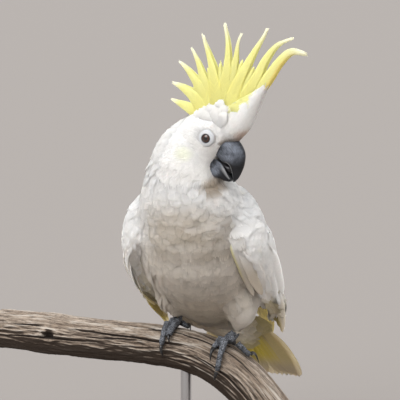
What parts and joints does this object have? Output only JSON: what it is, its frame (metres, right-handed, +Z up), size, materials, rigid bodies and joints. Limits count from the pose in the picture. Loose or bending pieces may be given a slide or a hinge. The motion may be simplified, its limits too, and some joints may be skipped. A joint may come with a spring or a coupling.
{
  "type": "sulphur-crested cockatoo model on a perch",
  "caption": "Still life-size white cockatoo with a raised yellow crest and its head turned, gripping a cut branch on a plain display stand.",
  "frame": {"origin": "middle of the underside of the stand's base", "axes": "+Z up, the bird's breast faces -Y and its left side is +X"},
  "size_m": [0.3919, 0.3886, 0.5135],
  "materials": {
    "white_plumage": "soft matt feathers",
    "yellow_plumage": "soft matt feathers",
    "bill_horn": "powdery satin horn",
    "tongue_skin": "moist dark skin",
    "eye_gloss": "wet gloss",
    "eye_skin": "soft bare skin, finely wrinkled",
    "toe_skin": "scaly grey skin",
    "claw_horn": "smooth horn",
    "bare_wood": "weathered, cracked, no bark",
    "stand_wood": "satin lacquer",
    "stand_steel": "fine brushed"
  },
  "bodies": {
    "root": {"bill_lower": "bill_horn", "bill_upper": "bill_horn", "claw_1_left": "claw_horn", "claw_1_right": "claw_horn", "claw_2_left": "claw_horn", "claw_2_right": "claw_horn", "claw_3_left": "claw_horn", "claw_3_right": "claw_horn", "claw_4_left": "claw_horn", "claw_4_right": "claw_horn", "crest_feather_1": "yellow_plumage", "crest_feather_10": "yellow_plumage", "crest_feather_2": "yellow_plumage", "crest_feather_3": "yellow_plumage", "crest_feather_4": "yellow_plumage", "crest_feather_5": "yellow_plumage", "crest_feather_6": "yellow_plumage", "crest_feather_7": "yellow_plumage", "crest_feather_8": "yellow_plumage", "crest_feather_9": "yellow_plumage", "crest_forelock": "white_plumage", "eye_left": "eye_gloss", "eye_right": "eye_gloss", "foot_left": "toe_skin", "foot_right": "toe_skin", "head": "white_plumage", "leg_left": "white_plumage", "leg_right": "white_plumage", "neck": "white_plumage", "perch": "bare_wood", "stand_base": "stand_wood", "stand_rod": "stand_steel", "tail": "white_plumage", "toe_1_left": "toe_skin", "toe_1_right": "toe_skin", "toe_2_left": "toe_skin", "toe_2_right": "toe_skin", "toe_3_left": "toe_skin", "toe_3_right": "toe_skin", "toe_4_left": "toe_skin", "toe_4_right": "toe_skin", "tongue": "tongue_skin", "trunk": "white_plumage", "wing_left": "white_plumage", "wing_primaries_left": "white_plumage", "wing_primaries_right": "white_plumage", "wing_right": "white_plumage"}
  },
  "joints": []
}
